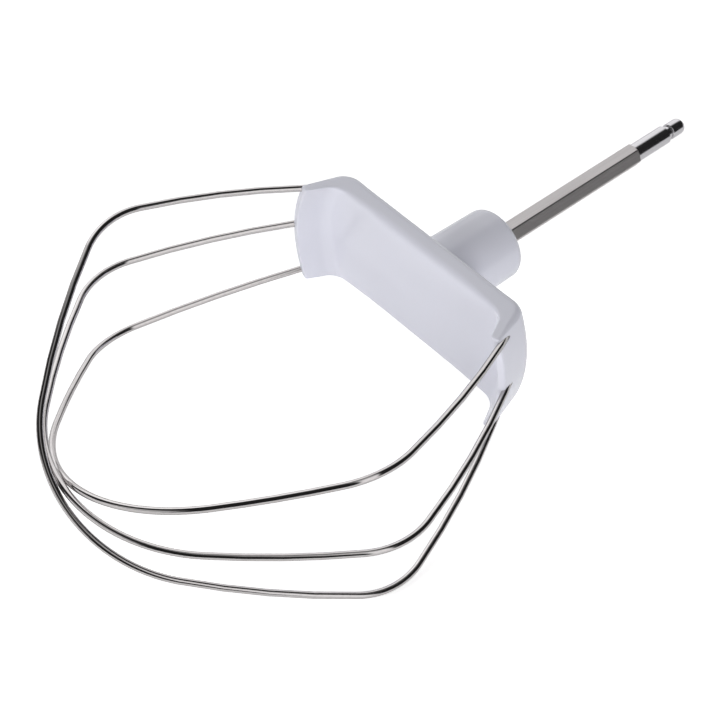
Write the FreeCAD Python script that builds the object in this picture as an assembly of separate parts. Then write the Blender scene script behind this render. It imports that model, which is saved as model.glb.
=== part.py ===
"""Wire whisk attachment for a kitchen stand mixer.

Five pieces: a moulded hub, a hexagonal drive shaft and three nested wire hoops.
They are drawn with the shaft upright and the hub's leg tips at height zero, then
laid down: +X runs along the hub's bridge, +Y along the shaft to its tip and +Z up.
The origin is on the shaft's axis, at the shoulder where the hexagon ends.
"""
import FreeCAD, Part
import math
import os

# Drive shaft
HEX_ACROSS_FLATS = 6.0
HEX_TURN = -4.6            # degrees that a flat is turned from the hub's side face
HEX_EXPOSED_LENGTH = 54.3
HEX_END_CHAMFER = 0.5
SPIGOT_DIAMETER = 5.6
SPIGOT_LENGTH = 13.2
SPIGOT_CHAMFER = 0.4
NECK_DIAMETER = 3.9
NECK_LENGTH = 1.4
TIP_DIAMETER = 4.9
TIP_LENGTH = 5.7
TIP_ROUNDING = 2.0
TIP_HEEL_ROUNDING = 0.45
ANCHOR_GROOVE_DIAMETER = 4.4
ANCHOR_GROOVE_LENGTH = 3.0
ANCHOR_FOOT_LENGTH = 4.0   # full hexagon left below the groove

# Hub: a strip cut from a shallow bell, with a collar on top
HUB_WIDTH = 34.0
HUB_HEIGHT = 14.0          # from the leg tips' outer edge to the top of the bridge
BRIDGE_THICKNESS = 7.0
LEG_TIP_RADIUS = 41.7      # outer edge of the leg tips, about the shaft's axis
LEG_TIP_THICKNESS = 2.3
LEG_OUTER_SLOPE = 16.0     # degrees from the shaft's axis
LEG_INNER_SLOPE = 27.0
BRIDGE_TOP_ROUNDING = 5.5
BRIDGE_ROOT_FILLET = 5.0
SIDE_EDGE_ROUNDING = 1.1
COLLAR_HEIGHT = 24.5
COLLAR_BASE_RADIUS = 10.8
COLLAR_DRAFT = 1.0         # degrees
COLLAR_RIM_ROUNDING = 2.5
COLLAR_ROOT_FILLET = 1.5
SHAFT_FLOOR = 3.0          # plastic left under the shaft's foot

# Wire hoops: one bent shape, nested one inside the next
WIRE_DIAMETER = 1.9
WIRE_GAP = 0.2             # air left where two hoops cross
HOOP_SPREAD = 21.7         # degrees between neighbouring hoops, about the shaft's axis
SIDE_HOOP_LEAN = 1.6       # degrees that the two side hoops lean apart
FLARE_ANGLE = 29.3         # degrees from the shaft's axis where the outer hoop leaves the hub
FLARE_ANGLE_STEP = 1.2     # degrees less for each hoop further in
FLARE_RUN = 45.2
FLARE_RUN_STEP = 2.0       # more for each hoop further in
FLARE_BEND_RADIUS = 235.0
SHOULDER_RADIUS = 21.6
SHOULDER_TURN = 51.5       # degrees
SIDE_BEND_RADIUS = 223.0
CAGE_DEPTH = 107.2         # from the leg tips to the outer hoop's bottom
WIRE_BURIED_LENGTH = 9.5

# Heights that follow from the sizes above
BRIDGE_TOP = HUB_HEIGHT
BRIDGE_UNDERSIDE = BRIDGE_TOP - BRIDGE_THICKNESS
COLLAR_TOP = BRIDGE_TOP + COLLAR_HEIGHT
SHAFT_FOOT = BRIDGE_UNDERSIDE + SHAFT_FLOOR
HEX_SHOULDER = COLLAR_TOP + HEX_EXPOSED_LENGTH
HOOP_PITCH = WIRE_DIAMETER + WIRE_GAP

UP = FreeCAD.Vector(0, 0, 1)
SIDEWAYS = FreeCAD.Vector(0, 1, 0)
ORIGIN = FreeCAD.Vector(0, 0, 0)


def in_section(radius, height):
    """Point of the upright cross-section, at a radius from the axis."""
    return FreeCAD.Vector(radius, 0, height)


def rounded_section(corners):
    """Closed face through (radius, height, rounding) corners, each rounding a tangent arc."""
    points = [in_section(radius, height) for radius, height, _ in corners]
    edges = []
    joins = []
    for index, (_, _, rounding) in enumerate(corners):
        here = points[index]
        to_last = (points[index - 1] - here).normalize()
        to_next = (points[(index + 1) % len(points)] - here).normalize()
        if rounding == 0:
            joins.append((here, None, here))
            continue
        half_angle = to_last.getAngle(to_next) / 2
        reach = rounding / math.tan(half_angle)
        bisector = (to_last + to_next).normalize()
        middle = here + bisector * (rounding / math.sin(half_angle) - rounding)
        joins.append((here + to_last * reach, middle, here + to_next * reach))
    for index, (start, middle, end) in enumerate(joins):
        if middle is not None:
            edges.append(Part.Arc(start, middle, end).toShape())
        following = joins[(index + 1) % len(joins)][0]
        edges.append(Part.LineSegment(end, following).toShape())
    return Part.Face(Part.Wire(edges))


def turned(corners):
    """Solid of revolution about the shaft's axis."""
    return rounded_section(corners).revolve(ORIGIN, UP, 360)


def hexagon_bar(bottom, top):
    """Upright hexagonal bar between two heights."""
    corner_radius = HEX_ACROSS_FLATS / math.sqrt(3)
    corners = []
    for step in range(6):
        angle = math.radians(60 * step + HEX_TURN)
        corners.append(FreeCAD.Vector(math.cos(angle), math.sin(angle), 0) * corner_radius + UP * bottom)
    outline = Part.makePolygon(corners + corners[:1])
    return Part.Face(outline).extrude(UP * (top - bottom))


def drive_shaft():
    """Hexagonal bar with a buried anchor groove and a round spigot, neck and tip."""
    corner_radius = HEX_ACROSS_FLATS / math.sqrt(3)
    chamfer_limit = turned([
        (0, SHAFT_FOOT, 0),
        (corner_radius, SHAFT_FOOT, 0),
        (corner_radius, HEX_SHOULDER - HEX_END_CHAMFER, 0),
        (corner_radius - HEX_END_CHAMFER, HEX_SHOULDER, 0),
        (0, HEX_SHOULDER, 0),
    ])
    bar = hexagon_bar(SHAFT_FOOT, HEX_SHOULDER).common(chamfer_limit)

    groove_bottom = SHAFT_FOOT + ANCHOR_FOOT_LENGTH
    groove_top = groove_bottom + ANCHOR_GROOVE_LENGTH
    groove_radius = ANCHOR_GROOVE_DIAMETER / 2
    bar = bar.cut(turned([
        (groove_radius, groove_bottom, 0),
        (HEX_ACROSS_FLATS, groove_bottom, 0),
        (HEX_ACROSS_FLATS, groove_top, 0),
        (groove_radius, groove_top, 0),
    ]))

    spigot_radius = SPIGOT_DIAMETER / 2
    spigot_end = HEX_SHOULDER + SPIGOT_LENGTH
    neck_end = spigot_end + NECK_LENGTH
    tip_end = neck_end + TIP_LENGTH
    end = turned([
        (0, HEX_SHOULDER - HEX_END_CHAMFER, 0),
        (spigot_radius, HEX_SHOULDER - HEX_END_CHAMFER, 0),
        (spigot_radius, spigot_end - SPIGOT_CHAMFER, 0),
        (spigot_radius - SPIGOT_CHAMFER, spigot_end, 0),
        (NECK_DIAMETER / 2, spigot_end, 0),
        (NECK_DIAMETER / 2, neck_end, 0),
        (TIP_DIAMETER / 2, neck_end, TIP_HEEL_ROUNDING),
        (TIP_DIAMETER / 2, tip_end, TIP_ROUNDING),
        (0, tip_end, 0),
    ])
    return bar.fuse(end).removeSplitter()


def bell():
    """Bridge and legs as a full bell: flat top, sloping walls, thin tips."""
    outer_slope = math.radians(LEG_OUTER_SLOPE)
    inner_slope = math.radians(LEG_INNER_SLOPE)
    tip_inner_radius = LEG_TIP_RADIUS - LEG_TIP_THICKNESS * math.cos(outer_slope)
    tip_inner_height = -LEG_TIP_THICKNESS * math.sin(outer_slope)
    top_radius = LEG_TIP_RADIUS - BRIDGE_TOP * math.tan(outer_slope)
    root_radius = tip_inner_radius - (BRIDGE_UNDERSIDE - tip_inner_height) * math.tan(inner_slope)
    return turned([
        (0, BRIDGE_TOP, 0),
        (top_radius, BRIDGE_TOP, BRIDGE_TOP_ROUNDING),
        (LEG_TIP_RADIUS, 0, 0),
        (tip_inner_radius, tip_inner_height, 0),
        (root_radius, BRIDGE_UNDERSIDE, BRIDGE_ROOT_FILLET),
        (0, BRIDGE_UNDERSIDE, 0),
    ])


def on_side_face(edge):
    """True for an edge that lies in one of the strip's two flat side faces."""
    box = edge.BoundBox
    flat = box.YLength < 1e-6
    return flat and abs(abs(box.YMin) - HUB_WIDTH / 2) < 1e-6


def hub_body():
    """Strip of the bell with softened sides, and the drafted collar on its bridge."""
    reach = 2 * LEG_TIP_RADIUS
    strip = Part.makeBox(2 * reach, HUB_WIDTH, 2 * reach, FreeCAD.Vector(-reach, -HUB_WIDTH / 2, -reach))
    bridge = bell().common(strip)
    bridge = bridge.makeFillet(SIDE_EDGE_ROUNDING, [edge for edge in bridge.Edges if on_side_face(edge)])

    collar_top_radius = COLLAR_BASE_RADIUS - COLLAR_HEIGHT * math.tan(math.radians(COLLAR_DRAFT))
    collar = turned([
        (0, BRIDGE_TOP - BRIDGE_THICKNESS / 2, 0),
        (COLLAR_BASE_RADIUS, BRIDGE_TOP - BRIDGE_THICKNESS / 2, 0),
        (COLLAR_BASE_RADIUS, BRIDGE_TOP, 0),
        (collar_top_radius, COLLAR_TOP, COLLAR_RIM_ROUNDING),
        (0, COLLAR_TOP, 0),
    ])
    body = bridge.fuse(collar).removeSplitter()
    return body.makeFillet(COLLAR_ROOT_FILLET, [edge for edge in body.Edges if is_collar_root(edge)])


def is_collar_root(edge):
    """True for the circle where the collar stands on the bridge."""
    box = edge.BoundBox
    at_top = abs(box.ZMin - BRIDGE_TOP) < 1e-6 and box.ZLength < 1e-6
    return at_top and abs(box.XMax - COLLAR_BASE_RADIUS) < 0.01


def outward(angle):
    """Unit vector in the hoop's plane, at an angle from the radius."""
    return in_section(math.cos(angle), math.sin(angle))


def half_hoop_arcs(nesting):
    """Arcs of one half of a hoop, from the hub to the bottom.

    Each is (centre, radius, first angle, last angle), and starts where the one before
    ends, with the same heading. The last one is centred on the shaft's axis and meets
    the side arc at the given depth.
    """
    heading = math.radians(FLARE_ANGLE - nesting * FLARE_ANGLE_STEP)
    flare_run = FLARE_RUN + nesting * FLARE_RUN_STEP
    start = in_section(LEG_TIP_RADIUS, 0)
    arcs = []
    for radius, turn in (
        (FLARE_BEND_RADIUS, flare_run / FLARE_BEND_RADIUS),
        (SHOULDER_RADIUS, math.radians(SHOULDER_TURN)),
    ):
        centre = start - outward(heading) * radius
        arcs.append((centre, radius, heading, heading - turn))
        heading -= turn
        start = centre + outward(heading) * radius

    depth = CAGE_DEPTH - nesting * HOOP_PITCH
    side_centre = start - outward(heading) * SIDE_BEND_RADIUS
    rise = side_centre.z + depth
    bottom_radius = (SIDE_BEND_RADIUS ** 2 - side_centre.x ** 2 - rise ** 2) / (2 * (SIDE_BEND_RADIUS - rise))
    bottom_centre = in_section(0, bottom_radius - depth)
    meeting = math.atan2(bottom_centre.z - side_centre.z, -side_centre.x)
    arcs.append((side_centre, SIDE_BEND_RADIUS, heading, meeting))
    arcs.append((bottom_centre, bottom_radius, meeting, -math.pi / 2))
    return arcs


def wire_section(place, heading):
    """Round face across the wire, where it passes a point of the hoop's plane."""
    return Part.Face(Part.Wire(Part.makeCircle(WIRE_DIAMETER / 2, place, heading)))


def bent_wire(centre, radius, first, last):
    """Stretch of wire bent round one arc."""
    start = centre + outward(first) * radius
    heading = outward(first - math.pi / 2)
    return wire_section(start, heading).revolve(centre, SIDEWAYS, math.degrees(first - last))


def wire_hoop(nesting, turn, lean):
    """One bent wire: a half hoop with its buried end, joined to its mirror image."""
    arcs = half_hoop_arcs(nesting)
    into_hub = outward(arcs[0][2] + math.pi / 2)
    buried_end = wire_section(in_section(LEG_TIP_RADIUS, 0), into_hub).extrude(into_hub * WIRE_BURIED_LENGTH)
    stretches = [buried_end] + [bent_wire(*arc) for arc in arcs]
    stretches += [stretch.mirror(ORIGIN, FreeCAD.Vector(1, 0, 0)) for stretch in stretches]
    hoop = stretches[0].multiFuse(stretches[1:]).removeSplitter()
    hoop.rotate(ORIGIN, FreeCAD.Vector(1, 0, 0), lean)
    hoop.rotate(ORIGIN, UP, turn)
    return hoop


def laid_down(shape):
    """The shape turned to lie flat, with the shaft's shoulder at the origin."""
    placed = shape.copy()
    placed.translate(UP * -HEX_SHOULDER)
    placed.rotate(ORIGIN, FreeCAD.Vector(1, 0, 0), -90)
    return placed


def main():
    """Build the pieces, cut the hub to hold them, and write one file per piece."""
    pieces = {
        "drive_shaft": drive_shaft(),
        "wire_hoop_outer": wire_hoop(0, HOOP_SPREAD, SIDE_HOOP_LEAN),
        "wire_hoop_middle": wire_hoop(1, 0, 0),
        "wire_hoop_inner": wire_hoop(2, -HOOP_SPREAD, -SIDE_HOOP_LEAN),
    }
    pieces["hub"] = hub_body().cut(list(pieces.values()))

    os.makedirs("parts", exist_ok=True)
    for name, shape in pieces.items():
        laid_down(shape).exportStep("parts/" + name + ".step")


main()
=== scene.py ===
"""Looks of a wire whisk for a kitchen stand mixer.

A gloss white moulded hub carries a hexagonal steel shaft and three nested wire hoops.
Everything is in the row frame, in metres: +X along the hub's bridge, +Y along the shaft
to its tip and +Z up, with the origin at the shoulder where the hexagon ends.
"""
import logging
import math
from dataclasses import dataclass, field
from enum import Enum
from typing import Any, Optional, Union

import bmesh
import bpy
from mathutils import Matrix, Vector


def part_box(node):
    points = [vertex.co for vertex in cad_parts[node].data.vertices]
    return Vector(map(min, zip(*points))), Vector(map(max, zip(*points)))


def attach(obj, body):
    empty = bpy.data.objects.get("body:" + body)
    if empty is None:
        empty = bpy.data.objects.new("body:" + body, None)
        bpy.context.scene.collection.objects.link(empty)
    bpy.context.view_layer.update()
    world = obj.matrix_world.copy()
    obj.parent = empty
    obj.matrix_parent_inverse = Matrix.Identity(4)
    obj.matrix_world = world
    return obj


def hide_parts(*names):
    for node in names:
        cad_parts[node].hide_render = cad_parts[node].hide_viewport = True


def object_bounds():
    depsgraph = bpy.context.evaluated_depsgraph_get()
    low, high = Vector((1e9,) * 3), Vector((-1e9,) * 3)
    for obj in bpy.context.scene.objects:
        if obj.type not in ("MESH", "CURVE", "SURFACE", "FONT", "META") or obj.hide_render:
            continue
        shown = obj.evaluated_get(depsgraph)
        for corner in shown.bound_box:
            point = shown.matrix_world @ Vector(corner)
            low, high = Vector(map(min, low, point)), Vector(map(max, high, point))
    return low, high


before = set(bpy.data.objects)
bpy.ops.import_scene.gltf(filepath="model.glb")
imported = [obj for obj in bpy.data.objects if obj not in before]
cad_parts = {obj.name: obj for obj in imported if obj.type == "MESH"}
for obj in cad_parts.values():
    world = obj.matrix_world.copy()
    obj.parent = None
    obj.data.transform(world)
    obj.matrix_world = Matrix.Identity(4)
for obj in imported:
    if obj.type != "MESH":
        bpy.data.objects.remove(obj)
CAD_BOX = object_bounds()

LOG = logging.getLogger("whisk")
BODY = "root"

MM = 0.001
WELD = 0.001 * MM
LEG_TIP_RADIUS = 41.7 * MM
LEG_TIP_STATION = -92.8 * MM

QUARTER_TURN = math.radians(90.0)
FULL_TURN = math.radians(360.0)
HEXAGON = 6
NOISE_MIDDLE = 0.5
MIX_FACTOR, MIX_LOW, MIX_HIGH, MIX_RESULT = 0, 6, 7, 2
UP = Vector((0.0, 0.0, 1.0))
ALONG_SHAFT = Vector((0.0, 1.0, 0.0))

# Hub and hoops are modelled upright, with the leg tips at height zero, and then laid down.
LAID_DOWN = Matrix.Rotation(-QUARTER_TURN, 4, "X") @ Matrix.Translation(UP * LEG_TIP_STATION)

Colour = tuple[float, float, float]
Operand = Union["Value", int, float]
Tint = Union["Value", Colour]
Edges = list[bmesh.types.BMEdge]


class Slot(Enum):
    """Material slots of the record."""

    HUB = "hub_plastic"
    SHAFT = "shaft_steel"
    WIRE = "wire_steel"


class Value:
    """A number socket that takes part in Python arithmetic."""

    def __init__(self, graph: "Graph", socket: bpy.types.NodeSocket) -> None:
        """Wrap an output socket of a graph."""
        self.graph = graph
        self.socket = socket

    def _math(self, operation: str, first: Operand, second: Operand) -> "Value":
        """Add a Math node.

        Args:
            operation: Name of the Math node's operation.
            first: Left operand.
            second: Right operand.

        Returns:
            The node's result.
        """
        settings = {"operation": operation}
        return self.graph.add("ShaderNodeMath", settings, {0: first, 1: second})

    def __add__(self, other: Operand) -> "Value":
        """Sum."""
        return self._math("ADD", self, other)

    __radd__ = __add__

    def __sub__(self, other: Operand) -> "Value":
        """Difference."""
        return self._math("SUBTRACT", self, other)

    def __rsub__(self, other: Operand) -> "Value":
        """Difference from a number."""
        return self._math("SUBTRACT", other, self)

    def __mul__(self, other: Operand) -> "Value":
        """Product."""
        return self._math("MULTIPLY", self, other)

    __rmul__ = __mul__

    def __gt__(self, other: Operand) -> "Value":
        """One where this is greater, zero elsewhere."""
        return self._math("GREATER_THAN", self, other)

    def larger(self, other: Operand) -> "Value":
        """The larger of two values."""
        return self._math("MAXIMUM", self, other)


class Graph:
    """A node tree that is filled through one method."""

    def __init__(self, tree: bpy.types.NodeTree) -> None:
        """Empty a node tree and take it over."""
        self.tree = tree
        tree.nodes.clear()

    def add(
        self,
        kind: str,
        settings: Optional[dict[str, Any]] = None,
        inputs: Optional[dict[Union[str, int], Any]] = None,
        output: Union[str, int] = 0,
    ) -> Optional[Value]:
        """Add a node, set it up and connect it.

        Args:
            kind: The node's type.
            settings: Its properties.
            inputs: Values or links of its sockets, by name or number.
            output: The output to hand back, by name or number.

        Returns:
            The chosen output, or nothing from a node that has none.
        """
        node = self.tree.nodes.new(kind)
        for name, setting in (settings or {}).items():
            setattr(node, name, setting)
        for key, given in (inputs or {}).items():
            if isinstance(given, Value):
                self.tree.links.new(given.socket, node.inputs[key])
            else:
                node.inputs[key].default_value = given
        return Value(self, node.outputs[output]) if node.outputs else None

    def position(self) -> Value:
        """Object coordinates."""
        return self.add("ShaderNodeTexCoord", output="Object")

    def stretched(self, scale: tuple[float, float, float]) -> Value:
        """Object coordinates scaled by axis."""
        inputs = {"Vector": self.position(), "Scale": scale}
        return self.add("ShaderNodeMapping", inputs=inputs)

    def noise(self, place: Value, scale: float, detail: float = 2.0) -> Value:
        """Noise about 0.5.

        Args:
            place: Coordinates.
            scale: Features per unit of the coordinates.
            detail: Finer octaves.

        Returns:
            The noise value.
        """
        inputs = {"Vector": place, "Scale": scale, "Detail": detail}
        return self.add("ShaderNodeTexNoise", inputs=inputs)

    def mix_colour(self, factor: Operand, low: Tint, high: Tint) -> Value:
        """Blend of two colours.

        Args:
            factor: Share of the second colour.
            low: First colour.
            high: Second colour.

        Returns:
            The blended colour.
        """
        inputs = {MIX_FACTOR: factor}
        for socket, tint in ((MIX_LOW, low), (MIX_HIGH, high)):
            inputs[socket] = tint if isinstance(tint, Value) else (*tint, 1.0)
        return self.add("ShaderNodeMix", {"data_type": "RGBA"}, inputs, output=MIX_RESULT)

    def bump(self, height: Value, strength: float, depth: float) -> Value:
        """Normal from a height.

        Args:
            height: Height between 0 and 1.
            strength: Share of the bump that shows.
            depth: Height in metres.

        Returns:
            The normal.
        """
        inputs = {"Height": height, "Strength": strength, "Distance": depth}
        return self.add("ShaderNodeBump", inputs=inputs)

    def along(self, direction: Value, axis: Vector) -> Value:
        """Share of a direction that points along an axis."""
        inputs = {0: direction, 1: axis}
        return self.add("ShaderNodeVectorMath", {"operation": "DOT_PRODUCT"}, inputs, "Value")

    def eased(self, given: Value, low: float, high: float) -> Value:
        """Smooth step.

        Args:
            given: Value that is looked up.
            low: Value that gives 0; it may be the larger one.
            high: Value that gives 1.

        Returns:
            The step, from 0 to 1.
        """
        settings = {"interpolation_type": "SMOOTHSTEP"}
        inputs = {"Value": given, "From Min": low, "From Max": high}
        return self.add("ShaderNodeMapRange", settings, inputs)

    def surface(self, shader: Value, kind: str = "ShaderNodeOutputMaterial") -> None:
        """Connect a shader to the tree's output."""
        self.add(kind, inputs={"Surface": shader})


def new_material(name: str) -> tuple[bpy.types.Material, Graph]:
    """Start a material.

    Args:
        name: The material's name.

    Returns:
        The material and its empty graph.
    """
    material = bpy.data.materials.new(name)
    material.use_nodes = True
    return material, Graph(material.node_tree)


@dataclass(frozen=True)
class MouldedPlastic:
    """Gloss white moulding with faint clouding and a fine skin."""

    name: str = "gloss_white_moulding"
    tint: Colour = (0.74, 0.745, 0.835)
    clouded: Colour = (0.77, 0.775, 0.86)
    clouds_per_metre: float = 60.0
    skin_per_metre: float = 1400.0
    skin_depth: float = 0.00002
    skin_strength: float = 0.12
    roughness: float = 0.18
    roughness_play: float = 0.06
    refraction: float = 1.5

    def material(self) -> bpy.types.Material:
        """Build the material.

        Returns:
            The finished material.
        """
        material, graph = new_material(self.name)
        place = graph.position()
        clouds = graph.noise(place, self.clouds_per_metre)
        skin = graph.noise(place, self.skin_per_metre)
        graph.surface(graph.add("ShaderNodeBsdfPrincipled", inputs={
            "Base Color": graph.mix_colour(clouds, self.tint, self.clouded),
            "Roughness": self.roughness + (clouds - NOISE_MIDDLE) * self.roughness_play,
            "Normal": graph.bump(skin, self.skin_strength, self.skin_depth),
            "IOR": self.refraction,
        }))
        return material


@dataclass(frozen=True)
class PolishedWire:
    """Drawn and polished steel wire with fine marks."""

    name: str = "polished_wire"
    tint: Colour = (0.55, 0.53, 0.53)
    worn: Colour = (0.46, 0.44, 0.44)
    edge_tint: float = 0.7
    marks_per_metre: float = 900.0
    mark_detail: float = 3.0
    roughness: float = 0.10
    roughness_play: float = 0.10

    def material(self) -> bpy.types.Material:
        """Build the material.

        Returns:
            The finished material.
        """
        material, graph = new_material(self.name)
        marks = graph.noise(graph.position(), self.marks_per_metre, self.mark_detail)
        graph.surface(graph.add("ShaderNodeBsdfPrincipled", inputs={
            "Base Color": graph.mix_colour(marks, self.tint, self.worn),
            "Metallic": 1.0,
            "Roughness": self.roughness + (marks - NOISE_MIDDLE) * self.roughness_play,
            "Specular Tint": (*[self.edge_tint] * 3, 1.0),
        }))
        return material


@dataclass(frozen=True)
class DrawnBar:
    """Satin drawn bar whose turned end is polished."""

    name: str = "drawn_bar"
    satin: Colour = (0.52, 0.50, 0.50)
    satin_dark: Colour = (0.40, 0.38, 0.385)
    polished: Colour = (0.54, 0.53, 0.55)
    streaks_across: float = 2600.0
    streaks_along: float = 45.0
    streak_detail: float = 3.0
    satin_roughness: float = 0.36
    polished_roughness: float = 0.19
    roughness_play: float = 0.10
    streak_depth: float = 0.00002
    streak_strength: float = 0.25

    def material(self) -> bpy.types.Material:
        """Build the material.

        Returns:
            The finished material.
        """
        material, graph = new_material(self.name)
        scale = (self.streaks_across, self.streaks_along, self.streaks_across)
        streaks = graph.noise(graph.stretched(scale), 1.0, self.streak_detail)
        # The hexagon ends at the origin, and what lies beyond it along the shaft is turned.
        along = graph.add("ShaderNodeSeparateXYZ", inputs={0: graph.position()}, output="Y")
        turned = along > 0.0
        satin = graph.mix_colour(streaks, self.satin, self.satin_dark)
        polish = turned * (self.polished_roughness - self.satin_roughness)
        play = (streaks - NOISE_MIDDLE) * self.roughness_play
        grain = streaks * (1 - turned)
        graph.surface(graph.add("ShaderNodeBsdfPrincipled", inputs={
            "Base Color": graph.mix_colour(turned, satin, self.polished),
            "Metallic": 1.0,
            "Roughness": self.satin_roughness + polish + play,
            "Normal": graph.bump(grain, self.streak_strength, self.streak_depth),
        }))
        return material


def finished_piece(
    name: str, shape: bmesh.types.BMesh, material: bpy.types.Material
) -> bpy.types.Object:
    """Turn a bmesh into a smooth-shaded piece of the whisk.

    Args:
        name: The piece's name.
        shape: Its mesh, in the row frame; freed here.
        material: Its material.

    Returns:
        The new object, riding on the part's one body.
    """
    bmesh.ops.recalc_face_normals(shape, faces=shape.faces)
    mesh = bpy.data.meshes.new(name)
    shape.to_mesh(mesh)
    shape.free()
    mesh.shade_smooth()
    piece = bpy.data.objects.new(name, mesh)
    bpy.context.scene.collection.objects.link(piece)
    mesh.materials.append(material)
    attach(piece, BODY)
    return piece


def rounded_path(
    corners: list[tuple[float, float, float]], straight_steps: int, arc_steps: int
) -> list[Vector]:
    """Open path through corners, each rounded by a tangent arc.

    Args:
        corners: Radius, height and rounding of each corner.
        straight_steps: Pieces of each straight stretch.
        arc_steps: Pieces of each arc.

    Returns:
        Points of the path, as (radius, height).
    """
    points = [Vector(corner[:2]) for corner in corners]
    path = [points[0]]
    for index in range(1, len(points)):
        here = points[index]
        rounding = corners[index][2]
        to_last = (points[index - 1] - here).normalized()
        start = here
        if rounding > 0.0:
            to_next = (points[index + 1] - here).normalized()
            half_angle = to_last.angle(to_next) / 2.0
            start = here + to_last * (rounding / math.tan(half_angle))
        last = path[-1]
        path += [last.lerp(start, (step + 1) / straight_steps) for step in range(straight_steps)]
        if rounding > 0.0:
            middle = (to_last + to_next).normalized()
            centre = here + middle * (rounding / math.sin(half_angle))
            arm = start - centre
            turn = math.copysign(math.pi - 2.0 * half_angle, (-to_last).cross(to_next))
            for step in range(arc_steps):
                path.append(centre + Matrix.Rotation(turn * (step + 1) / arc_steps, 2) @ arm)
    return path


def smooth_step(share: float) -> float:
    """Share from 0 to 1 that starts and ends gently."""
    return share * share * (3.0 - 2.0 * share)


def turn_profile(
    shape: bmesh.types.BMesh, profile: list[tuple[float, float, float]], axis: Vector, steps: int
) -> None:
    """Turn an open profile once about an axis through the origin and close its seam and poles.

    Args:
        shape: Mesh that takes the turned form.
        profile: Points of the profile, the first and last on the axis.
        axis: Direction of the axis.
        steps: Pieces of the full turn.
    """
    verts = [shape.verts.new(place) for place in profile]
    edges = [shape.edges.new(pair) for pair in zip(verts, verts[1:])]
    bmesh.ops.spin(
        shape, geom=verts + edges, cent=(0.0, 0.0, 0.0), axis=axis, angle=FULL_TURN, steps=steps,
        use_merge=True)
    bmesh.ops.remove_doubles(shape, verts=shape.verts, dist=WELD)


def bevel(shape: bmesh.types.BMesh, edges: Edges, size: float, segments: int) -> None:
    """Chamfer or round edges.

    Args:
        shape: Mesh that holds the edges.
        edges: Edges to work on.
        size: Distance that the bevel takes off each side.
        segments: One for a chamfer, more for a rounding.
    """
    bmesh.ops.bevel(
        shape, geom=edges, offset=size, offset_type="OFFSET", affect="EDGES", segments=segments,
        profile=0.5, material=-1)


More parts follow.
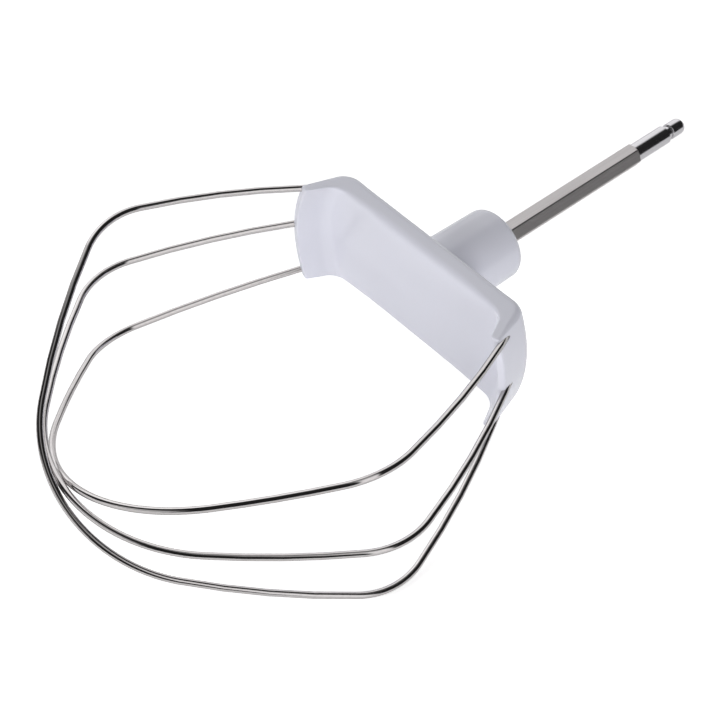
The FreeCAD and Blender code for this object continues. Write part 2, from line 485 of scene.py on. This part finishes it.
@dataclass
class Hub:
    """The moulded hub: a strip of a shallow bell with soft sides, and a drafted collar."""

    node: str = "hub"
    width: float = 34.0 * MM
    height: float = 14.0 * MM
    bridge_thickness: float = 7.0 * MM
    leg_tip_radius: float = LEG_TIP_RADIUS
    leg_tip_thickness: float = 2.3 * MM
    outer_slope: float = 16.0
    inner_slope: float = 27.0
    top_rounding: float = 5.5 * MM
    root_rounding: float = 5.0 * MM
    tip_rounding: float = 0.65 * MM
    side_softness: float = 2.4 * MM
    tip_softness: float = 0.45 * MM
    softness_run: float = 24.0 * MM
    side_sink: float = 1.08
    flat_from: float = 20.0 * MM
    collar_height: float = 24.5 * MM
    collar_base_radius: float = 10.8 * MM
    collar_draft: float = 1.0
    collar_rim_rounding: float = 2.5 * MM
    collar_root_rounding: float = 1.5 * MM
    collar_flange: float = 3.0 * MM
    collar_sunk: float = 0.03 * MM
    straight_steps: int = 5
    arc_steps: int = 12
    softness_steps: int = 7
    width_steps: int = 12
    round_steps: int = 96
    finish: MouldedPlastic = field(default_factory=MouldedPlastic)

    def build(self) -> None:
        """Model and dress the hub."""
        shape = bmesh.new()
        self._collar(shape)
        self._strip(shape)
        bmesh.ops.transform(shape, matrix=LAID_DOWN, verts=shape.verts)
        piece = finished_piece("whisk_hub", shape, self.finish.material())
        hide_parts(self.node)
        LOG.info("hub built")

    def _collar(self, shape: bmesh.types.BMesh) -> None:
        """Add the collar by turning its profile, with its flange just under the bridge's top.

        Args:
            shape: Mesh that takes the collar.
        """
        top = self.height + self.collar_height
        drawn_in = self.collar_height * math.tan(math.radians(self.collar_draft))
        flange_radius = self.collar_base_radius + self.collar_flange
        flange_foot = self.height - self.bridge_thickness / 2.0
        profile = rounded_path([
            (0.0, flange_foot, 0.0),
            (flange_radius, flange_foot, 0.0),
            (flange_radius, self.height - self.collar_sunk, 0.0),
            (self.collar_base_radius, self.height, self.collar_root_rounding),
            (self.collar_base_radius - drawn_in, top, self.collar_rim_rounding),
            (0.0, top, 0.0),
        ], self.straight_steps, self.arc_steps)
        places = [(radius, 0.0, height) for radius, height in profile]
        turn_profile(shape, places, UP, self.round_steps)

    def _half_section(self) -> list[tuple[Vector, Vector, float]]:
        """Section of one leg, from the bridge's top round the tip to its underside.

        Returns:
            Each point as (radius, height), with its inward direction and its side rounding.
        """
        outer = math.radians(self.outer_slope)
        underside = self.height - self.bridge_thickness
        tip_inner = Vector((
            self.leg_tip_radius - self.leg_tip_thickness * math.cos(outer),
            -self.leg_tip_thickness * math.sin(outer),
        ))
        inner = math.tan(math.radians(self.inner_slope))
        root_radius = tip_inner.x - (underside - tip_inner.y) * inner
        path = rounded_path([
            (self.flat_from, self.height, 0.0),
            (self.leg_tip_radius - self.height * math.tan(outer), self.height, self.top_rounding),
            (self.leg_tip_radius, 0.0, self.tip_rounding),
            (tip_inner.x, tip_inner.y, self.tip_rounding),
            (root_radius, underside, self.root_rounding),
            (self.flat_from, underside, 0.0),
        ], self.straight_steps, self.arc_steps)
        along = [0.0]
        for last, here in zip(path, path[1:]):
            along.append(along[-1] + (here - last).length)
        tip = min(range(len(path)), key=lambda index: path[index].y)
        gain = self.side_softness - self.tip_softness
        section = []
        for index, point in enumerate(path):
            heading = (path[min(index + 1, len(path) - 1)] - path[max(index - 1, 0)]).normalized()
            inward = Vector((heading.y, -heading.x))
            share = min(1.0, abs(along[index] - along[tip]) / self.softness_run)
            section.append((point, inward, self.tip_softness + gain * smooth_step(share)))
        return section

    def _strip(self, shape: bmesh.types.BMesh) -> None:
        """Add the bridge and legs as loops across the strip, from one soft side to the other.

        Args:
            shape: Mesh that takes the strip.
        """
        side = []
        for step in range(self.softness_steps + 1):
            swing = QUARTER_TURN * step / self.softness_steps
            side.append((1.0, math.sin(swing), 1.0 - math.cos(swing)))
        # One more ring just inside each flat side keeps its edge from smoothing over.
        side.append((1.0, 1.0, self.side_sink))
        stations = [(-across, -bulge, sink) for across, bulge, sink in reversed(side)]
        for step in range(1, self.width_steps):
            stations.append((2.0 * step / self.width_steps - 1.0, 0.0, 0.0))
        stations += side
        section = self._half_section()
        loops = [self._loop(shape, section, *station) for station in stations]
        for last, here in zip(loops, loops[1:]):
            bmesh.ops.bridge_loops(shape, edges=last + here)
        for end in (loops[0], loops[-1]):
            bmesh.ops.edgeloop_fill(shape, edges=end)

    def _loop(
        self, shape: bmesh.types.BMesh, section: list[tuple[Vector, Vector, float]],
        across: float, bulge: float, sink: float,
    ) -> Edges:
        """Closed outline of the strip at one station of its width.

        Args:
            shape: Mesh that takes the outline.
            section: Section of one leg.
            across: Place between the two side roundings, from -1 to 1.
            bulge: Share of the side rounding that is added to the place.
            sink: Share of the side rounding by which the outline draws in.

        Returns:
            Edges of the outline.
        """
        right = []
        for point, inward, rounding in section:
            drawn_in = point + inward * (rounding * sink)
            beside = across * (self.width / 2.0 - rounding) + bulge * rounding
            right.append((math.sqrt(drawn_in.x ** 2 - beside ** 2), beside, drawn_in.y))
        outline = right + [(-x, y, z) for x, y, z in reversed(right)]
        verts = [shape.verts.new(place) for place in outline]
        return [shape.edges.new((verts[index - 1], verts[index])) for index in range(len(verts))]


@dataclass
class DriveShaft:
    """Hexagonal bar with a turned spigot, neck and tip."""

    node: str = "drive_shaft"
    across_flats: float = 6.0 * MM
    turn: float = 0.0
    edge_rounding: float = 0.22 * MM
    edge_segments: int = 3
    shoulder_chamfer: float = 0.35 * MM
    spigot_radius: float = 2.8 * MM
    spigot_length: float = 13.2 * MM
    spigot_chamfer: float = 0.4 * MM
    neck_radius: float = 1.95 * MM
    neck_length: float = 1.4 * MM
    tip_radius: float = 2.45 * MM
    tip_rounding: float = 2.0 * MM
    tip_heel_rounding: float = 0.45 * MM
    round_steps: int = 48
    rounding_steps: int = 8
    sharp_from: float = 35.0
    flat_from: float = 50.0 * MM * MM
    finish: DrawnBar = field(default_factory=DrawnBar)

    def build(self) -> None:
        """Model and dress the shaft."""
        shape = bmesh.new()
        self._bar(shape)
        self._turned_end(shape)
        piece = finished_piece("whisk_shaft", shape, self.finish.material())
        piece.data.set_sharp_from_angle(angle=math.radians(self.sharp_from))
        for face in piece.data.polygons:
            face.use_smooth = face.area < self.flat_from
        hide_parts(self.node)
        LOG.info("shaft built")

    def _bar(self, shape: bmesh.types.BMesh) -> None:
        """Add the hexagonal bar from its buried foot to the shoulder.

        Args:
            shape: Mesh that takes the bar.
        """
        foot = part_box(self.node)[0][1]
        corner = self.across_flats / math.sqrt(3.0)
        start = (
            Matrix.Translation(ALONG_SHAFT * foot)
            @ Matrix.Rotation(-QUARTER_TURN, 4, "X")
            @ Matrix.Rotation(math.radians(self.turn) - QUARTER_TURN, 4, "Z")
        )
        ring = bmesh.ops.create_circle(
            shape, cap_ends=True, segments=HEXAGON, radius=corner, matrix=start)
        foot_face = ring["verts"][0].link_faces[0]
        grown = bmesh.ops.extrude_face_region(shape, geom=[foot_face])["geom"]
        top = [item for item in grown if isinstance(item, bmesh.types.BMVert)]
        bmesh.ops.translate(shape, verts=top, vec=ALONG_SHAFT * -foot)
        ends = [edge for edge in shape.edges if all(vert in top for vert in edge.verts)]
        bevel(shape, ends, self.shoulder_chamfer, segments=1)
        long_edges = [edge for edge in shape.edges if edge.calc_length() > self.across_flats]
        bevel(shape, long_edges, self.edge_rounding, self.edge_segments)

    def _turned_end(self, shape: bmesh.types.BMesh) -> None:
        """Add the spigot, neck and rounded tip by turning their profile.

        Args:
            shape: Mesh that takes the turned end.
        """
        tip_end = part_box(self.node)[1][1]
        neck_end = self.spigot_length + self.neck_length
        profile = [
            (0.0, -self.shoulder_chamfer),
            (self.spigot_radius, -self.shoulder_chamfer),
            (self.spigot_radius, self.spigot_length - self.spigot_chamfer),
            (self.spigot_radius - self.spigot_chamfer, self.spigot_length),
            (self.neck_radius, self.spigot_length),
            (self.neck_radius, neck_end),
        ]
        heel = self.tip_heel_rounding
        for step in range(self.rounding_steps + 1):
            angle = QUARTER_TURN * step / self.rounding_steps
            profile.append((
                self.tip_radius - heel * (1.0 - math.sin(angle)),
                neck_end + heel * (1.0 - math.cos(angle)),
            ))
        for step in range(self.rounding_steps + 1):
            angle = QUARTER_TURN * step / self.rounding_steps
            profile.append((
                self.tip_radius - self.tip_rounding * (1.0 - math.cos(angle)),
                tip_end - self.tip_rounding * (1.0 - math.sin(angle)),
            ))
        profile.append((0.0, tip_end))
        places = [(radius, height, 0.0) for radius, height in profile]
        turn_profile(shape, places, ALONG_SHAFT, self.round_steps)


@dataclass
class WireHoop:
    """One bent wire: a chain of tangent arcs, mirrored about the shaft's axis."""

    node: str
    nesting: int
    turn: float
    lean: float
    wire_radius: float = 0.95 * MM
    pitch: float = 2.1 * MM
    leg_tip_radius: float = LEG_TIP_RADIUS
    flare_angle: float = 29.3
    flare_angle_step: float = 1.2
    flare_run: float = 45.2 * MM
    flare_run_step: float = 2.0 * MM
    flare_bend_radius: float = 235.0 * MM
    shoulder_radius: float = 21.6 * MM
    shoulder_turn: float = 51.5
    side_bend_radius: float = 223.0 * MM
    cage_depth: float = 107.2 * MM
    buried_length: float = 9.5 * MM
    round_steps: int = 20
    bend_step: float = 3.0
    fewest_steps: int = 4

    def build(self, material: bpy.types.Material) -> None:
        """Model the hoop and dress it.

        Args:
            material: The wire's finish.
        """
        leaving = math.radians(self.flare_angle - self.nesting * self.flare_angle_step)
        exit_point = Vector((self.leg_tip_radius, 0.0, 0.0))
        buried = Vector((-math.sin(leaving), 0.0, math.cos(leaving))) * self.buried_length
        shape = bmesh.new()
        start = Matrix.Translation(exit_point + buried) @ Matrix.Rotation(-leaving, 4, "Y")
        ring = bmesh.ops.create_circle(
            shape, cap_ends=False, segments=self.round_steps, radius=self.wire_radius, matrix=start)
        edges = list({edge for vert in ring["verts"] for edge in vert.link_edges})
        bmesh.ops.edgeloop_fill(shape, edges=edges)
        edges = self._straight(shape, edges, -buried)
        arcs = self._half_arcs(leaving, exit_point)
        for centre, angle in arcs:
            edges = self._bend(shape, edges, centre, angle)
        for centre, angle in reversed(arcs):
            edges = self._bend(shape, edges, Vector((-centre.x, 0.0, centre.z)), angle)
        edges = self._straight(shape, edges, Vector((-buried.x, 0.0, buried.z)))
        bmesh.ops.edgeloop_fill(shape, edges=edges)
        placed = (
            LAID_DOWN
            @ Matrix.Rotation(math.radians(self.turn), 4, "Z")
            @ Matrix.Rotation(math.radians(self.lean), 4, "X")
        )
        bmesh.ops.transform(shape, matrix=placed, verts=shape.verts)
        piece = finished_piece("whisk_" + self.node, shape, material)
        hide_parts(self.node)
        LOG.info("%s built", self.node)

    def _half_arcs(self, leaving: float, start: Vector) -> list[tuple[Vector, float]]:
        """Work out the arcs from the hub to the hoop's bottom.

        Args:
            leaving: Angle from the shaft's axis where the wire leaves the hub.
            start: Point where it leaves.

        Returns:
            Centre and turned angle of each arc, each tangent to the one before.
        """
        arcs = []
        heading = leaving
        flare_run = self.flare_run + self.nesting * self.flare_run_step
        for radius, angle in (
            (self.flare_bend_radius, flare_run / self.flare_bend_radius),
            (self.shoulder_radius, math.radians(self.shoulder_turn)),
        ):
            outward = Vector((math.cos(heading), 0.0, math.sin(heading)))
            centre = start - outward * radius
            arcs.append((centre, angle))
            heading -= angle
            start = centre + Vector((math.cos(heading), 0.0, math.sin(heading))) * radius
        side = self.side_bend_radius
        side_centre = start - Vector((math.cos(heading), 0.0, math.sin(heading))) * side
        depth = self.cage_depth - self.nesting * self.pitch
        rise = side_centre.z + depth
        bottom_radius = (side ** 2 - side_centre.x ** 2 - rise ** 2) / (2.0 * (side - rise))
        bottom_centre = Vector((0.0, 0.0, bottom_radius - depth))
        meeting = math.atan2(bottom_centre.z - side_centre.z, -side_centre.x)
        arcs.append((side_centre, heading - meeting))
        arcs.append((bottom_centre, meeting + QUARTER_TURN))
        return arcs

    @staticmethod
    def _straight(shape: bmesh.types.BMesh, edges: Edges, run: Vector) -> Edges:
        """Extrude the wire's open ring along a straight run.

        Args:
            shape: The hoop's mesh.
            edges: The open ring.
            run: Direction and length.

        Returns:
            The new open ring.
        """
        grown = bmesh.ops.extrude_edge_only(shape, edges=edges)["geom"]
        verts = [item for item in grown if isinstance(item, bmesh.types.BMVert)]
        bmesh.ops.translate(shape, verts=verts, vec=run)
        new_edges = [item for item in grown if isinstance(item, bmesh.types.BMEdge)]
        return [edge for edge in new_edges if len(edge.link_faces) == 1]

    def _bend(
        self, shape: bmesh.types.BMesh, edges: Edges, centre: Vector, angle: float
    ) -> Edges:
        """Spin the wire's open ring round one arc.

        Args:
            shape: The hoop's mesh.
            edges: The open ring.
            centre: The arc's centre in the hoop's plane.
            angle: Angle that the wire turns through.

        Returns:
            The new open ring.
        """
        steps = max(self.fewest_steps, math.ceil(math.degrees(angle) / self.bend_step))
        verts = list({vert for edge in edges for vert in edge.verts})
        spun = bmesh.ops.spin(
            shape, geom=verts + edges, cent=centre, axis=(0.0, 1.0, 0.0), angle=angle, steps=steps)
        return [item for item in spun["geom_last"] if isinstance(item, bmesh.types.BMEdge)]


@dataclass
class Cage:
    """The three nested wire hoops."""

    spread: float = 21.7
    lean: float = 1.6
    finish: PolishedWire = field(default_factory=PolishedWire)

    def build(self) -> None:
        """Model and dress the hoops."""
        material = self.finish.material()
        for hoop in (
            WireHoop("wire_hoop_outer", 0, self.spread, self.lean),
            WireHoop("wire_hoop_middle", 1, 0.0, 0.0),
            WireHoop("wire_hoop_inner", 2, -self.spread, -self.lean),
        ):
            hoop.build(material)


@dataclass(frozen=True)
class SoftLamp:
    """A large square lamp aimed at the whisk."""

    name: str
    place: tuple[float, float, float]
    side: float
    power: float

    def build(self, target: Vector) -> None:
        """Add the lamp.

        Args:
            target: Point it is aimed at.
        """
        lamp = bpy.data.lights.new(self.name, "AREA")
        lamp.size = self.side
        lamp.energy = self.power
        holder = bpy.data.objects.new(self.name, lamp)
        holder.location = self.place
        # Reflections come from the surroundings, so that no lamp's outline shows in the steel.
        holder.visible_camera = False
        holder.visible_glossy = False
        holder.rotation_euler = (target - Vector(self.place)).to_track_quat("-Z", "Y").to_euler()
        bpy.context.scene.collection.objects.link(holder)


@dataclass(frozen=True)
class SoftPatch:
    """A bright patch of the surroundings that fades out towards its rim."""

    towards: tuple[float, float, float]
    strength: float
    full_within: float
    ends_at: float

    def light(self, graph: Graph, direction: Value) -> Value:
        """Brightness that the patch gives in a direction.

        Args:
            graph: The world's tree.
            direction: Unit vector looked along.

        Returns:
            The brightness.
        """
        nearness = graph.along(direction, Vector(self.towards).normalized())
        rim = math.cos(math.radians(self.ends_at))
        full = math.cos(math.radians(self.full_within))
        return graph.eased(nearness, rim, full) * self.strength


@dataclass(frozen=True)
class SoftBand:
    """A band of the surroundings that rises on one side and passes overhead."""

    towards: tuple[float, float, float]
    bright: float
    overhead: float
    bright_from: float
    full_within: float
    ends_at: float

    def light(self, graph: Graph, direction: Value) -> Value:
        """Brightness that the band gives in a direction.

        Args:
            graph: The world's tree.
            direction: Unit vector looked along.

        Returns:
            The brightness.
        """
        ahead = Vector(self.towards).normalized()
        beside = graph.along(direction, ahead.cross(UP))
        rim = math.sin(math.radians(self.ends_at)) ** 2
        full = math.sin(math.radians(self.full_within)) ** 2
        rise = graph.eased(graph.along(direction, ahead), 0.0, self.bright_from)
        level = rise * (self.bright - self.overhead) + self.overhead
        return graph.eased(beside * beside, rim, full) * level


@dataclass
class Studio:
    """White floor, surrounding light and camera."""

    floor_side: float = 6.0
    floor_shade: Colour = (0.9, 0.9, 0.9)
    floor_glow: float = 0.62
    reflected_glow: float = 0.40
    surroundings: float = 0.03
    patches: tuple[Union[SoftPatch, SoftBand], ...] = (
        SoftPatch((-0.80, 0.50, 0.38), 1.65, 28.0, 46.0),
        SoftPatch((-0.30, -0.93, 0.21), 0.9, 12.0, 30.0),
        SoftBand((0.985, -0.174, 0.0), 1.7, 0.48, 0.7, 7.0, 14.0),
    )
    eye: tuple[float, float, float] = (0.29328, -0.38010, 0.42217)
    looks_at: tuple[float, float, float] = (0.00610, -0.11077, -0.00373)
    roll: float = 1.74
    lens: float = 110.0
    sensor: float = 36.0
    lamps: tuple[SoftLamp, ...] = (
        SoftLamp("lamp_front", (-0.35, -1.05, 0.22), 0.40, 5.2),
        SoftLamp("lamp_right", (1.0, -0.30, 0.22), 0.36, 4.1),
        SoftLamp("lamp_left", (-0.9, 0.25, 0.40), 0.36, 0.3),
    )

    def build(self) -> None:
        """Set up floor, world, lamps and camera."""
        self._floor()
        self._world()
        for lamp in self.lamps:
            lamp.build(Vector(self.looks_at))
        self._camera()
        bpy.context.scene.view_settings.view_transform = "Standard"
        LOG.info("studio built")

    def _glow(self, graph: Graph) -> Value:
        """Glow of the floor: full for the camera, less in reflections.

        Args:
            graph: The floor's tree.

        Returns:
            The strength.
        """
        camera = graph.add("ShaderNodeLightPath", output="Is Camera Ray")
        glossy = graph.add("ShaderNodeLightPath", output="Is Glossy Ray")
        through = graph.add("ShaderNodeLightPath", output="Is Transmission Ray")
        return (camera.larger(through) * self.floor_glow).larger(glossy * self.reflected_glow)

    def _floor(self) -> None:
        """Lay the floor under the whisk's lowest point."""
        shape = bmesh.new()
        lowest = Matrix.Translation(UP * CAD_BOX[0][2])
        bmesh.ops.create_grid(
            shape, x_segments=1, y_segments=1, size=self.floor_side / 2.0, matrix=lowest)
        mesh = bpy.data.meshes.new("floor")
        shape.to_mesh(mesh)
        shape.free()
        floor = bpy.data.objects.new("floor", mesh)
        bpy.context.scene.collection.objects.link(floor)
        material, graph = new_material("white_floor")
        diffuse = graph.add("ShaderNodeBsdfDiffuse", inputs={"Color": (*self.floor_shade, 1.0)})
        glow = graph.add("ShaderNodeEmission", inputs={"Strength": self._glow(graph)})
        graph.surface(graph.add("ShaderNodeAddShader", inputs={0: diffuse, 1: glow}))
        mesh.materials.append(material)

    def _world(self) -> None:
        """Dim surroundings with soft bright patches, white where the camera sees them."""
        world = bpy.data.worlds.new("surroundings")
        world.use_nodes = True
        graph = Graph(world.node_tree)
        direction = graph.add("ShaderNodeTexCoord", output="Generated")
        light = self.surroundings
        for patch in self.patches:
            light = light + patch.light(graph, direction)
        camera = graph.add("ShaderNodeLightPath", output="Is Camera Ray")
        shader = graph.add("ShaderNodeBackground", inputs={"Strength": light.larger(camera)})
        graph.surface(shader, "ShaderNodeOutputWorld")
        bpy.context.scene.world = world

    def _camera(self) -> None:
        """Place the camera."""
        camera = bpy.data.cameras.new("camera")
        camera.lens = self.lens
        camera.sensor_width = self.sensor
        holder = bpy.data.objects.new("camera", camera)
        aim = (Vector(self.looks_at) - Vector(self.eye)).to_track_quat("-Z", "Y")
        turned = aim.to_matrix().to_4x4() @ Matrix.Rotation(math.radians(self.roll), 4, "Z")
        holder.matrix_world = Matrix.Translation(self.eye) @ turned
        bpy.context.scene.collection.objects.link(holder)
        bpy.context.scene.camera = holder


def main() -> None:
    """Build the whisk, then the studio."""
    logging.basicConfig(level=logging.INFO, format="%(name)s: %(message)s")
    Hub().build()
    DriveShaft().build()
    Cage().build()
    Studio().build()
    LOG.info("sizes noted")


if __name__ == "__main__":
    main()
